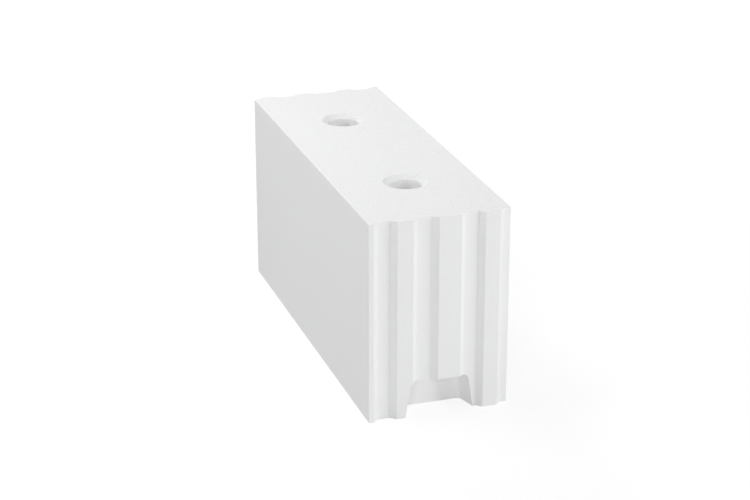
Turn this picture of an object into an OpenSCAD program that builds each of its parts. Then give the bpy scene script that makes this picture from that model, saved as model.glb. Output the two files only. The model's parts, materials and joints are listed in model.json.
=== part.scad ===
// Calcium silicate block for thin-bed masonry.
// X runs along the block, Y across it and Z up. The origin is the middle of the bed face.
// Both ends have one ridged outline: the tongues of a block enter the grooves of the next one in the wall.
// Left and right are those of someone who faces the +X end, so left is -Y and right is +Y.

/* [Block] */
// Length, the same along every line from end to end
block_l = 498; // [300:1:650]
// Width, which is the thickness of the wall
block_w = 175; // [150:1:300]
// Height
block_h = 249; // [120:1:300]

/* [End profile] */
// Depth of the grooves below the faces of the tongues
profile_depth = 6; // [2:0.5:12]
// Width of the slope between a tongue and a groove
flank_w = 6; // [1:0.5:8]
// Width of the slope on the left of the middle tongue
middle_flank_w = 7.5; // [1:0.5:10]
// Width of the narrow tongue along the left edge
edge_tongue_w = 6; // [2:0.5:10]
// Width of the floor of the left groove
left_groove_w = 16.5; // [8:0.5:20]
// Width of the face of the left tongue
left_tongue_w = 19.5; // [8:0.5:24]
// Width of the floor of the inner groove
inner_groove_w = 18; // [8:0.5:22]
// Width of the floor of the right groove
right_groove_w = 17.5; // [8:0.5:22]
// Width of the face of the right tongue
right_tongue_w = 18; // [8:0.5:22]
// Width of the floor of the open groove along the right edge
edge_groove_w = 8.5; // [2:0.5:12]

/* [Lifting holes] */
// Distance between the axes of the lifting holes
hole_spacing = 250; // [120:1:400]
// Diameter of the shaft of a lifting hole
shaft_d = 39; // [20:0.5:60]
// Diameter of the funnel of a lifting hole in the top face
mouth_d = 54.5; // [40:0.5:80]
// Depth of the funnel
funnel_depth = 5; // [2:0.5:20]

/* [Grip pockets] */
// Width of the mouth of a grip pocket along the bed face
pocket_w = 88; // [60:1:110]
// Height of the mouth
pocket_h = 44; // [25:1:80]
// Depth of the pocket from the outermost plane of the end
pocket_depth = 32; // [20:1:60]
// Distance of the middle of the pocket to the right of the middle of the block
pocket_offset = 2; // [-10:0.5:10]
// Angle between a side wall and the vertical
pocket_lean = 9; // [0:0.5:15]
// Angle at which the side walls close in towards the back
pocket_draft = 14; // [0:0.5:20]
// Angle at which the roof falls towards the back
roof_fall = 9.5; // [0:0.5:20]
// Radius of the rounded corners
pocket_r = 7; // [2:0.5:10]

/* [Hidden] */
$fn = 96;
pocket_fn = 32;
// How far a cutting shape reaches past the face that it opens
overlap = 5;
// Thickness of the slices that a pocket is stretched between
slice = 0.01;

// Planes of the tongues and of the groove floors at the +X end
tongue_x = (block_l + profile_depth) / 2;
groove_x = tongue_x - profile_depth;

// Edges of the strips of an end, from each side of the block to the middle tongue
edge_tongue_end = -block_w / 2 + edge_tongue_w;
left_groove_start = edge_tongue_end + flank_w;
left_groove_end = left_groove_start + left_groove_w;
left_tongue_start = left_groove_end + flank_w;
left_tongue_end = left_tongue_start + left_tongue_w;
inner_groove_start = left_tongue_end + flank_w;
inner_groove_end = inner_groove_start + inner_groove_w;
middle_tongue_start = inner_groove_end + middle_flank_w;
edge_groove_start = block_w / 2 - edge_groove_w;
right_tongue_end = edge_groove_start - flank_w;
right_tongue_start = right_tongue_end - right_tongue_w;
right_groove_end = right_tongue_start - flank_w;
right_groove_start = right_groove_end - right_groove_w;
middle_tongue_end = right_groove_start - flank_w;

// Outline of the +X end, from left to right
end_outline = [
    [tongue_x, -block_w / 2],
    [tongue_x, edge_tongue_end],
    [groove_x, left_groove_start],
    [groove_x, left_groove_end],
    [tongue_x, left_tongue_start],
    [tongue_x, left_tongue_end],
    [groove_x, inner_groove_start],
    [groove_x, inner_groove_end],
    [tongue_x, middle_tongue_start],
    [tongue_x, middle_tongue_end],
    [groove_x, right_groove_start],
    [groove_x, right_groove_end],
    [tongue_x, right_tongue_start],
    [tongue_x, right_tongue_end],
    [groove_x, edge_groove_start],
    [groove_x, block_w / 2],
];

// The same outline one block length back, from right to left
far_outline = [for (i = [len(end_outline) - 1:-1:0]) end_outline[i] - [block_l, 0]];

// Half the width of a pocket at the height of the bed face, at a distance in front of its back wall
function pocket_half_w(front) = pocket_w / 2 - (pocket_depth - front) * tan(pocket_draft);

// Height of the roof of a pocket, at a distance in front of its back wall
function roof_z(front) = pocket_h - (pocket_depth - front) * tan(roof_fall);

// How much a side wall moves towards the middle from the bed face up to a height
function lean_in(z) = z * tan(pocket_lean);

// A lifting hole: a shaft through the whole height with a shallow funnel at the top
module lifting_hole() {
    rotate_extrude()
        polygon([
            [0, -overlap],
            [shaft_d / 2, -overlap],
            [shaft_d / 2, block_h - funnel_depth],
            [mouth_d / 2, block_h],
            [mouth_d / 2, block_h + overlap],
            [0, block_h + overlap],
        ]);
}

// Rounded upright corners of the back of a pocket, one on each side
module pocket_back() {
    top_z = roof_z(pocket_r) - pocket_r;
    for (side = [-1, 1]) {
        translate([pocket_r, side * (pocket_half_w(pocket_r) - lean_in(top_z) - pocket_r), top_z])
            sphere(r = pocket_r, $fn = pocket_fn);
        translate([pocket_r, side * (pocket_half_w(pocket_r) - pocket_r), -overlap])
            cylinder(r = pocket_r, h = slice, $fn = pocket_fn);
    }
}

// Front of a pocket, just past the end of the block: two rounded corners above two sharp ones
module pocket_front() {
    front = pocket_depth + overlap;
    top_z = roof_z(front) - pocket_r;
    for (side = [-1, 1]) {
        translate([front, side * (pocket_half_w(front) - lean_in(top_z) - pocket_r), top_z])
            rotate([0, 90, 0])
                cylinder(r = pocket_r, h = slice, $fn = pocket_fn);
        translate([front, side * (pocket_half_w(front) - lean_in(-overlap)), -overlap])
            cube(slice, center = true);
    }
}

// A grip pocket in the foot of the +X end, open at the front and below
module grip_pocket() {
    translate([tongue_x - pocket_depth, pocket_offset, 0])
        hull() {
            pocket_back();
            pocket_front();
        }
}

module block() {
    color("whitesmoke")
        difference() {
            linear_extrude(height = block_h)
                polygon(concat(end_outline, far_outline));
            for (side = [-1, 1])
                translate([side * hole_spacing / 2, 0, 0])
                    lifting_hole();
            grip_pocket();
            mirror([1, 0, 0])
                grip_pocket();
        }
}

block();
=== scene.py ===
"""A calcium silicate block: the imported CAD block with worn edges, rough lifting holes and a sandy surface."""

import json
import math

import bmesh
import bpy
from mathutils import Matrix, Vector, noise


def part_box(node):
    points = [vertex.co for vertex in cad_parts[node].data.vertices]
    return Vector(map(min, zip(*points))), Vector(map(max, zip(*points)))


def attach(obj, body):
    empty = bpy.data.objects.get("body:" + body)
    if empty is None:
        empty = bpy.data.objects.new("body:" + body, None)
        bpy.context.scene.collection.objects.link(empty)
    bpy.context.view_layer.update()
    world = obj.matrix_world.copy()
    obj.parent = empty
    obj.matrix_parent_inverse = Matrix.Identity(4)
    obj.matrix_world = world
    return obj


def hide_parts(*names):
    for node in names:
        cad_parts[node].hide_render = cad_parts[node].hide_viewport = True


MM = 0.001

# Joining and cutting the CAD mesh
WELD = 0.001 * MM  # corners closer than this are one
SLACK = 0.3 * MM  # how far a corner may lie off the circle or the level that it belongs to
FLAT_ANGLE = math.radians(0.2)  # faces that turn less than this are one flat side
SHARP_ANGLE = math.radians(20)  # sides that turn more than this meet in an edge that gets rounded
WORN_ANGLE = math.radians(12)  # after the rounding, edges that turn more than this are worn
EDGE_ROUND = 0.2 * MM  # how far the rounding of an edge reaches
EDGE_FACETS = 2  # facets across the rounding of an edge
ARC_PROFILE = 0.5  # makes the rounding an arc
STEP = 1.8 * MM  # spacing of the finest cuts, on the top and along the roundings
END_STEPS, WALL_STEPS, BED_STEPS = 3, 5, 6  # spacing of the cuts on the other sides, in the finest steps

# Facets of a lifting hole
HOLE_FACETS = 96  # round it
FUNNEL_RINGS = 5  # down its funnel
SHAFT_RINGS, RING_STEP = 19, 2 * MM  # down the upper part of its shaft

# Telling the sides apart, by how much of a normal points along an axis
SQUARE_ON = 0.99  # more than this: flat and facing along the axis
NEARLY_SQUARE_ON = 0.9  # more than this: a corner of such a side
OBLIQUE = 0.5  # more than this, lengthwise: a strip of an end, or a flank of one of its grooves
ACROSS = 0.3  # less than this: facing across the axis
WALL_AREA, END_AREA = 0.01, 0.0001  # least areas of a wall face and of a strip of an end, in square metres
SIDE_DEPTH = 1 * MM  # a face or a corner nearer than this to the top or the bed is part of it

# Where the walls of the lifting holes and of the grip pockets are
HOLE_REACH = 2.0  # corners of the CAD mesh nearer to a hole's axis than this, in shaft radii, are the hole's
FUNNEL_REACH = 9 * MM  # a funnel ends nearer to the shaft than this
SHAFT_REACH = 0.8 * MM  # the relief of a shaft's wall is less deep than this
RIM = 0.1 * MM  # corners nearer to the top than this belong to it, and not to a funnel
POCKET_REACH = 20 * MM  # a pocket's walls are nearer than this to the opening that the record states
POCKET_FRONT = 7 * MM  # deeper than the grooves of an end, so that a pocket's walls begin behind them

# Relief: its mean depth, and the height and the size of each of its ripples, in millimetres
HOLE_GRIT = (0.30, ((0.16, 3.8), (0.18, 2.3)))
BED_GRIT = (0.08, ((0.03, 8.0), (0.04, 3.6)))
SIDE_GRIT = (0.04, ((0.02, 25.0),))

# Wear of the edges: crumbling all along them, and shallow chips where a broad ripple rises over a level
CRUMB_DEPTH, CRUMB_SIZE = 0.05 * MM, 3 * MM
CHIP_DEPTH, CHIP_SIZE, CHIP_LEVEL = 0.4 * MM, 14 * MM, 0.25
CHIP_SHIFT = Vector((1, 2, 3))  # keeps the chips from following the crumbling

# Grain: how strongly the material's grain stands out on each kind of face
HOLE_GRAIN, BED_GRAIN, FLANK_GRAIN, SIDE_GRAIN = 2.4, 1.4, 0.6, 0.3
GRAIN_SIZE = 2.3 * MM
GRAIN_HEIGHT = 0.3 * MM
GRAIN_DETAIL, GRAIN_ROUGHNESS = 2, 0.6
GRAIN_LOW, GRAIN_HIGH = 0.3, 0.7  # from the darkest to the palest grains

# Pores: a cell of a pattern has a pit in its middle if a chance value of its own, from 0 to 1, is high enough
PORE_SPACING = 7 * MM
PORE_EDGE, PORE_FLOOR = 0.15, 0.09  # distances from the cell's middle, in cells
PORE_CHANCE, PORE_CERTAIN = 0.55, 0.8  # chance values at which a pit begins, and at which it is full
PORE_STRENGTH = 0.3

# Colours, in linear light
SILICATE_DARK = (0.905, 0.9075, 0.910, 1)
SILICATE_PALE = (0.970, 0.9725, 0.975, 1)
PAINTED_LIGHT_DARK = (0.970, 0.972, 0.974, 1)  # painted light: the holes and pockets are coloured paler than the faces, which lifts their shade
PAINTED_LIGHT_PALE = (0.995, 0.996, 0.997, 1)
# painted shade: the pits are coloured dark for the shade inside them
PORE_SHADE = (0.62, 0.62, 0.62, 1)
WHITE = (1, 1, 1, 1)
ROUGHNESS, SPECULAR = 0.92, 0.2
FLATNESS = 80  # above 50, larger faces count for more in the shading, which keeps the flat sides flat

# Camera: it stands off the +X end, to the left of it and above
CAMERA_AT = Vector((2.2969, -0.7513, 1.0749))
CAMERA_BACK = (-18.172, 21.7)  # the direction straight behind it: azimuth from +X and height, in degrees
LENS, SENSOR = 97.8, 36.0  # focal length and width of the sensor, in millimetres
CLIP_END = 100

# Surround: the floor bounces light as pale paper does, and the camera sees it white, with a pale shadow
FLOOR_REACH = 20  # from the block to the floor's sides
FLOOR_BOUNCE = 0.65  # how much of the light the floor returns to the block
FLOOR_SEEN = 0.35  # and how much of it is seen, which is what the shadow takes away
GLOW_NEAR, GLOW_FAR = 0.72, 0.85  # added only to what is seen of the floor, so that it lights nothing
NEAR, FAR = 0.5, 1.6  # distances from the block's middle between which the glow changes
AMBIENT = 0.35  # how brightly the white surround lights the block

# Soft lights: name, (azimuth from +X, height) in degrees, distance and size in metres, power in watts
LIGHTS = [
    ("front_light", (-20, 17), 3.0, 1.3, 20.1),
    ("right_light", (60, 30), 3.0, 1.0, 18.1),
    ("low_right_light", (47, 0), 1.6, 0.24, 3.55),
    ("left_light", (-100, 55), 1.4, 0.8, 5.85),
    ("back_light", (-170, 35), 3.0, 0.6, 25.5),
]

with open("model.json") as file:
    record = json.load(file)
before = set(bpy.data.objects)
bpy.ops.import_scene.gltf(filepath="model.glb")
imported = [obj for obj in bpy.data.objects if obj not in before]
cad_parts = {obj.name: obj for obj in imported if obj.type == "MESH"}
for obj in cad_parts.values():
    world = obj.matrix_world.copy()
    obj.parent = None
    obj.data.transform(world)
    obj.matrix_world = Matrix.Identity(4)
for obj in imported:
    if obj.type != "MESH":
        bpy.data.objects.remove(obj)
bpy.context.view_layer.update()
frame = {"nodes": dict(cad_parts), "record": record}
low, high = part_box("block")
HOLES = [m for m in frame["record"]["mounts"] if m["kind"] == "bore"]
OPENINGS = frame["record"]["physics"]["openings"]
POCKETS = [o["box_m"] for o in OPENINGS if o["name"].startswith("grip_pocket")]


# ---------------------------------------------------------------- lifting holes and grip pockets

def radius(hole):
    """Radius of a lifting hole's shaft."""
    return hole["dims"]["r_mm"] * MM


def off_axis(co, hole):
    """Distance of a point from the axis of a lifting hole."""
    return math.hypot(co.x - hole["pos_m"][0], co.y - hole["pos_m"][1])


def off_shaft(co):
    """Distance of a point from the shaft of the nearer lifting hole, outwards."""
    return min(off_axis(co, hole) - radius(hole) for hole in HOLES)


def in_a_hole(co):
    """Whether a point is on the wall of a lifting hole."""
    return off_shaft(co) < FUNNEL_REACH and low.z + SIDE_DEPTH < co.z < high.z - RIM


def near_box(co, box):
    """Whether a point is in a grip pocket's box, or not far outside it."""
    return all(lo - POCKET_REACH < at < hi + POCKET_REACH for lo, at, hi in zip(box[0], co, box[1]))


def in_a_pocket(co):
    """Whether a point is on a wall of a grip pocket, behind the grooves of the end."""
    behind = abs(co.x) < high.x - POCKET_FRONT and co.z > low.z + SIDE_DEPTH
    return behind and any(near_box(co, box) for box in POCKETS)


# ---------------------------------------------------------------- the mesh of the block

def merged_cad(node):
    """The CAD node's mesh with its split corners joined, and each flat side in as few faces as can be."""
    bm = bmesh.new()
    bm.from_mesh(frame["nodes"][node].data)
    bmesh.ops.remove_doubles(bm, verts=bm.verts, dist=WELD)
    bmesh.ops.dissolve_limit(bm, angle_limit=FLAT_ANGLE, verts=bm.verts, edges=bm.edges)
    return bm


def with_corners(faces):
    """Faces with their edges and corners, each of them once, as bisect_plane takes them."""
    geom = {}
    for face in faces:
        for part in (face, *face.edges, *face.verts):
            geom[part] = True
    return list(geom)


def cut(bm, geom, point, normal):
    """Cuts some geometry along a plane and returns all that it has become."""
    return bmesh.ops.bisect_plane(bm, geom=geom, dist=WELD, plane_co=point, plane_no=normal)["geom"]


def round_hole(bm, hole):
    """Gives a lifting hole more facets, on the true circles of its shaft and funnel."""
    shaft_r = radius(hole)
    near = [v for v in bm.verts if off_axis(v.co, hole) < HOLE_REACH * shaft_r]
    mouth_r = max(off_axis(v.co, hole) for v in near if v.co.z > high.z - SLACK)
    funnel_z = max(v.co.z for v in near if off_axis(v.co, hole) < shaft_r + SLACK)
    funnel_h = high.z - funnel_z
    faces = dict.fromkeys(f for v in near for f in v.link_faces if abs(f.normal.z) < SQUARE_ON)
    wall = with_corners(f for f in faces if all(off_axis(v.co, hole) < mouth_r + SLACK for v in f.verts))
    axis = Vector((hole["pos_m"][0], hole["pos_m"][1], 0))
    for i in range(HOLE_FACETS // 2):
        turn = math.pi * (i + 0.5) / (HOLE_FACETS // 2)
        wall = cut(bm, wall, axis, Vector((math.cos(turn), math.sin(turn), 0)))
    heights = [funnel_z + funnel_h * i / FUNNEL_RINGS for i in range(1, FUNNEL_RINGS)]
    heights += [funnel_z - RING_STEP * i for i in range(1, SHAFT_RINGS + 1)]
    for height in heights:
        wall = cut(bm, wall, Vector((0, 0, height)), Vector((0, 0, 1)))
    corners = [part for part in wall if isinstance(part, bmesh.types.BMVert)]
    for v in corners:
        rise = max(0.0, (v.co.z - funnel_z) / funnel_h)
        centre = Vector((axis.x, axis.y, v.co.z))
        v.co = centre + (v.co - centre).normalized() * (shaft_r + (mouth_r - shaft_r) * rise)


def round_edges(bm):
    """Rounds every edge where two sides meet, and returns the faces of the roundings."""
    bm.normal_update()
    sharp = [e for e in bm.edges if e.calc_face_angle(0) > SHARP_ANGLE]
    rounding = {"offset": EDGE_ROUND, "segments": EDGE_FACETS, "profile": ARC_PROFILE}
    return bmesh.ops.bevel(bm, geom=sharp, affect="EDGES", clamp_overlap=True, **rounding)["faces"]


def cut_grid(bm, faces, axes, every):
    """Cuts faces along planes across the given axes, at every so many of the finest steps."""
    geom = with_corners(faces)
    for axis in axes:
        normal = Vector([float(i == axis) for i in range(3)])
        reach = high[axis] - low[axis]
        steps = round(reach / STEP)
        for i in range(every, steps, every):
            geom = cut(bm, geom, normal * (low[axis] + reach * i / steps), normal)


def sides(bm, roundings):
    """The block's flat faces, sorted by the side that they lie on."""
    bm.normal_update()
    rounded = set(roundings)
    flat_faces = [f for f in bm.faces if f not in rounded]
    found = {"top": [], "bed": [], "ends": [], "walls": []}
    for f in flat_faces:
        z = f.calc_center_median().z
        along, sideways, upright = abs(f.normal.x), abs(f.normal.y), abs(f.normal.z)
        if f.normal.z > SQUARE_ON and z > high.z - SIDE_DEPTH:
            found["top"].append(f)
        elif f.normal.z < -SQUARE_ON and z < low.z + SIDE_DEPTH:
            found["bed"].append(f)
        elif sideways > SQUARE_ON and f.calc_area() > WALL_AREA:
            found["walls"].append(f)
        elif along > OBLIQUE and upright < ACROSS and f.calc_area() > END_AREA:
            found["ends"].append(f)
    return found


def ripple(co, size):
    """Smooth noise from -1 to 1 whose bumps are about size across."""
    return noise.noise(co / size)


def wear(co):
    """Depth to which an edge has crumbled and chipped at a point."""
    crumbling = 0.5 + 0.5 * ripple(co, CRUMB_SIZE)
    chipping = max(0.0, ripple(co + CHIP_SHIFT, CHIP_SIZE) - CHIP_LEVEL)
    return CRUMB_DEPTH * crumbling + CHIP_DEPTH * chipping


def relief(co, grit):
    """Depth of a kind of sandy relief at a point."""
    depth, ripples = grit
    for height, size in ripples:
        depth += height * ripple(co, size * MM)
    return depth * MM


def surface_kind(v):
    """The relief and the coarseness of the grain at a corner of the mesh."""
    if in_a_hole(v.co):
        return HOLE_GRIT, HOLE_GRAIN
    if abs(v.normal.z) > NEARLY_SQUARE_ON:
        return BED_GRIT, BED_GRAIN
    if ACROSS < abs(v.normal.y) < NEARLY_SQUARE_ON:
        return SIDE_GRIT, FLANK_GRAIN
    return SIDE_GRIT, SIDE_GRAIN


def carve(bm):
    """Moves every corner of the mesh inwards, by its wear on an edge and by its relief everywhere.

    It also keeps how coarse the grain is there, which the material reads."""
    bm.normal_update()
    edge_verts = {v for e in bm.edges if e.calc_face_angle(0) > WORN_ANGLE for v in e.verts}
    coarseness = bm.verts.layers.float.new("coarseness")
    moved = {}
    for v in bm.verts:
        grit, v[coarseness] = surface_kind(v)
        depth = relief(v.co, grit) + (wear(v.co) if v in edge_verts else 0.0)
        moved[v] = v.co - v.normal * depth
    for v, co in moved.items():
        v.co = co


def mark_painted_light(bm):
    """Marks the faces in the holes' shafts and in the grip pockets, where the material paints light: a paler
    tint that lifts their shade.
    """
    painted_light = bm.faces.layers.float.new("painted_light")
    for f in bm.faces:
        co = f.calc_center_median()
        in_a_shaft = abs(f.normal.z) < ACROSS and off_shaft(co) < SHAFT_REACH
        f[painted_light] = float(in_a_shaft or in_a_pocket(co))


def build_block():
    """The block's visible mesh, made from the CAD block."""
    bm = merged_cad("block")
    for hole in HOLES:
        round_hole(bm, hole)
    roundings = round_edges(bm)
    found = sides(bm, roundings)
    cut_grid(bm, roundings, (0, 1, 2), 1)
    cut_grid(bm, found["top"], (0, 1), 1)
    cut_grid(bm, found["ends"], (1, 2), END_STEPS)
    cut_grid(bm, found["walls"], (0, 2), WALL_STEPS)
    cut_grid(bm, found["bed"], (0, 1), BED_STEPS)
    carve(bm)
    bmesh.ops.triangulate(bm, faces=bm.faces, quad_method="BEAUTY", ngon_method="BEAUTY")
    # painted light: marks the shafts and pockets for a paler tint that lifts their shade
    mark_painted_light(bm)
    mesh = bpy.data.meshes.new("block_surface")
    bm.to_mesh(mesh)
    bm.free()
    mesh.polygons.foreach_set("use_smooth", [True] * len(mesh.polygons))
    block = bpy.data.objects.new("block_surface", mesh)
    bpy.context.scene.collection.objects.link(block)
    flat = block.modifiers.new("flat sides stay flat", "WEIGHTED_NORMAL")
    flat.mode = "FACE_AREA"
    flat.weight = FLATNESS
    return block


# ---------------------------------------------------------------- nodes of the materials

def new_material(name):
    """A new material and its nodes."""
    mat = bpy.data.materials.new(name)
    mat.use_nodes = True
    return mat, mat.node_tree


def add_node(tree, kind, **settings):
    """A new node of a kind, with some of its settings."""
    node = tree.nodes.new("ShaderNode" + kind)
    for name, value in settings.items():
        setattr(node, name, value)
    return node


def feed(tree, socket, value):
    """Gives a socket a fixed value, or links another node's output to it."""
    if isinstance(value, bpy.types.NodeSocket):
        tree.links.new(value, socket)
    else:
        socket.default_value = value


def maths(tree, operation, first, second):
    """The result of an operation on two values."""
    node = add_node(tree, "Math", operation=operation)
    feed(tree, node.inputs[0], first)
    feed(tree, node.inputs[1], second)
    return node.outputs["Value"]


def ramp(tree, source, start, end, first=0.0, last=1.0):
    """Goes from the first value to the last as the source goes from start to end."""
    node = add_node(tree, "MapRange")
    values = {"Value": source, "From Min": start, "From Max": end, "To Min": first, "To Max": last}
    for name, value in values.items():
        feed(tree, node.inputs[name], value)
    return node.outputs["Result"]


def blend(tree, factor, first, second):
    """Goes from the first colour to the second as the factor goes from 0 to 1."""
    node = add_node(tree, "Mix", data_type="RGBA")
    for name, value in {"Factor": factor, "A": first, "B": second}.items():
        feed(tree, node.inputs[name], value)
    return node.outputs["Result"]


def texture(tree, kind, size, **inputs):
    """A pattern laid through the object, with features of a size in metres."""
    node = add_node(tree, kind)
    node.inputs["Scale"].default_value = 1 / size
    for name, value in inputs.items():
        node.inputs[name].default_value = value
    tree.links.new(add_node(tree, "TexCoord").outputs["Object"], node.inputs["Vector"])
    return node


def seen_directly(tree, otherwise, value):
    """A value for what the camera, a reflection or clear glass shows, and another for all else."""
    path = add_node(tree, "LightPath")
    seen = maths(tree, "MAXIMUM", path.outputs["Is Camera Ray"], path.outputs["Is Glossy Ray"])
    seen = maths(tree, "MAXIMUM", seen, path.outputs["Is Transmission Ray"])
    return ramp(tree, seen, 0.0, 1.0, otherwise, value)


# ---------------------------------------------------------------- materials

def pore_pattern(tree, coarseness):
    """Tiny pits in the middle of some of the cells of a pattern, deeper where the face is coarser."""
    cells = texture(tree, "TexVoronoi", PORE_SPACING)
    chance = add_node(tree, "SeparateColor")
    tree.links.new(cells.outputs["Color"], chance.inputs["Color"])
    pit = ramp(tree, cells.outputs["Distance"], PORE_EDGE, PORE_FLOOR)
    pores = maths(tree, "MULTIPLY", pit, ramp(tree, chance.outputs["Red"], PORE_CHANCE, PORE_CERTAIN))
    return maths(tree, "MULTIPLY", pores, coarseness)


def silicate():
    """Pressed sand and lime: nearly white and matte, with sand grains in relief and a few tiny pores in relief,
    whose shade is painted dark.
    """
    mat, tree = new_material("calcium_silicate")
    shader = tree.nodes["Principled BSDF"]
    shader.inputs["Roughness"].default_value = ROUGHNESS
    shader.inputs["Specular IOR Level"].default_value = SPECULAR
    coarseness = add_node(tree, "Attribute", attribute_name="coarseness").outputs["Fac"]
    # painted light: this attribute marks the shafts and pockets, whose tint is paler to lift their shade
    painted_light = add_node(tree, "Attribute", attribute_name="painted_light").outputs["Fac"]
    grains = texture(tree, "TexNoise", GRAIN_SIZE, Detail=GRAIN_DETAIL, Roughness=GRAIN_ROUGHNESS)
    grain = grains.outputs["Fac"]
    pores = maths(tree, "MULTIPLY", pore_pattern(tree, coarseness), PORE_STRENGTH)

    spread = maths(tree, "SUBTRACT", ramp(tree, grain, GRAIN_LOW, GRAIN_HIGH), 0.5)
    tone = maths(tree, "ADD", maths(tree, "MULTIPLY", spread, coarseness), 0.5)
    open_tint = blend(tree, tone, SILICATE_DARK, SILICATE_PALE)
    painted_light_tint = blend(tree, tone, PAINTED_LIGHT_DARK, PAINTED_LIGHT_PALE)
    # painted light: the shafts and grip pockets get the paler tint, which lifts their shade
    tint = blend(tree, painted_light, open_tint, painted_light_tint)
    # painted shade: the pores darken the tint for the shade in them, besides denting the relief below
    tree.links.new(blend(tree, pores, tint, PORE_SHADE), shader.inputs["Base Color"])

    relief_node = add_node(tree, "Bump")
    relief_node.inputs["Distance"].default_value = GRAIN_HEIGHT
    tree.links.new(coarseness, relief_node.inputs["Strength"])
    tree.links.new(maths(tree, "SUBTRACT", grain, pores), relief_node.inputs["Height"])
    tree.links.new(relief_node.outputs["Normal"], shader.inputs["Normal"])
    return mat


def pale_floor():
    """A white floor that bounces soft light. The camera sees it as white, with a pale shadow."""
    mat, tree = new_material("pale_floor")
    tree.nodes.remove(tree.nodes["Principled BSDF"])
    paper = add_node(tree, "BsdfDiffuse")
    tree.links.new(seen_directly(tree, FLOOR_BOUNCE, FLOOR_SEEN), paper.inputs["Color"])
    distance = add_node(tree, "VectorMath", operation="LENGTH")
    tree.links.new(add_node(tree, "TexCoord").outputs["Object"], distance.inputs[0])
    level = ramp(tree, distance.outputs["Value"], NEAR, FAR, GLOW_NEAR, GLOW_FAR)
    glow = add_node(tree, "Emission")
    tree.links.new(maths(tree, "MULTIPLY", seen_directly(tree, 0.0, 1.0), level), glow.inputs["Strength"])
    both = add_node(tree, "AddShader")
    tree.links.new(paper.outputs["BSDF"], both.inputs[0])
    tree.links.new(glow.outputs["Emission"], both.inputs[1])
    tree.links.new(both.outputs["Shader"], tree.nodes["Material Output"].inputs["Surface"])
    return mat


# ---------------------------------------------------------------- floor, light and camera

def build_floor():
    """A wide level floor that the block stands on."""
    bm = bmesh.new()
    bmesh.ops.create_grid(bm, x_segments=1, y_segments=1, size=FLOOR_REACH)
    mesh = bpy.data.meshes.new("floor")
    bm.to_mesh(mesh)
    bm.free()
    floor = bpy.data.objects.new("floor", mesh)
    floor.location.z = low.z
    bpy.context.scene.collection.objects.link(floor)
    floor.data.materials.append(pale_floor())


def build_world():
    """An even white surround. The camera sees it at full white, and it lights the block less brightly."""
    world = bpy.data.worlds.new("studio")
    bpy.context.scene.world = world
    world.use_nodes = True
    back = world.node_tree.nodes["Background"]
    back.inputs["Color"].default_value = WHITE
    world.node_tree.links.new(seen_directly(world.node_tree, AMBIENT, 1.0), back.inputs["Strength"])


def toward(azimuth, height):
    """The direction with an azimuth from +X and a height, in degrees."""
    azimuth, height = math.radians(azimuth), math.radians(height)
    level = math.cos(height)
    return Vector((math.cos(azimuth) * level, math.sin(azimuth) * level, math.sin(height)))


def aim_back(thing, place, direction):
    """Puts a light or a camera in its place, looking back along a direction, and adds it to the scene."""
    thing.location = place
    thing.rotation_mode = "QUATERNION"
    thing.rotation_quaternion = direction.to_track_quat("Z", "Y")
    bpy.context.scene.collection.objects.link(thing)


def area_light(name, angles, distance, size, power):
    """A square soft light that looks at the block's middle from a direction."""
    data = bpy.data.lights.new(name, "AREA")
    data.shape = "SQUARE"
    data.size = size
    data.energy = power
    direction = toward(*angles)
    aim_back(bpy.data.objects.new(name, data), (low + high) / 2 + direction * distance, direction)


def build_camera():
    """The camera, at the end and the left-hand side of the block and a little above it."""
    data = bpy.data.cameras.new("camera")
    data.lens, data.sensor_width = LENS, SENSOR
    data.clip_end = CLIP_END
    camera = bpy.data.objects.new("camera", data)
    aim_back(camera, CAMERA_AT, toward(*CAMERA_BACK))
    bpy.context.scene.camera = camera


build_camera()
block = build_block()
block.data.materials.append(silicate())
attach(block, "root")
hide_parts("block")
build_floor()
build_world()
for light in LIGHTS:
    area_light(*light)

bpy.context.scene.view_settings.view_transform = "Standard"
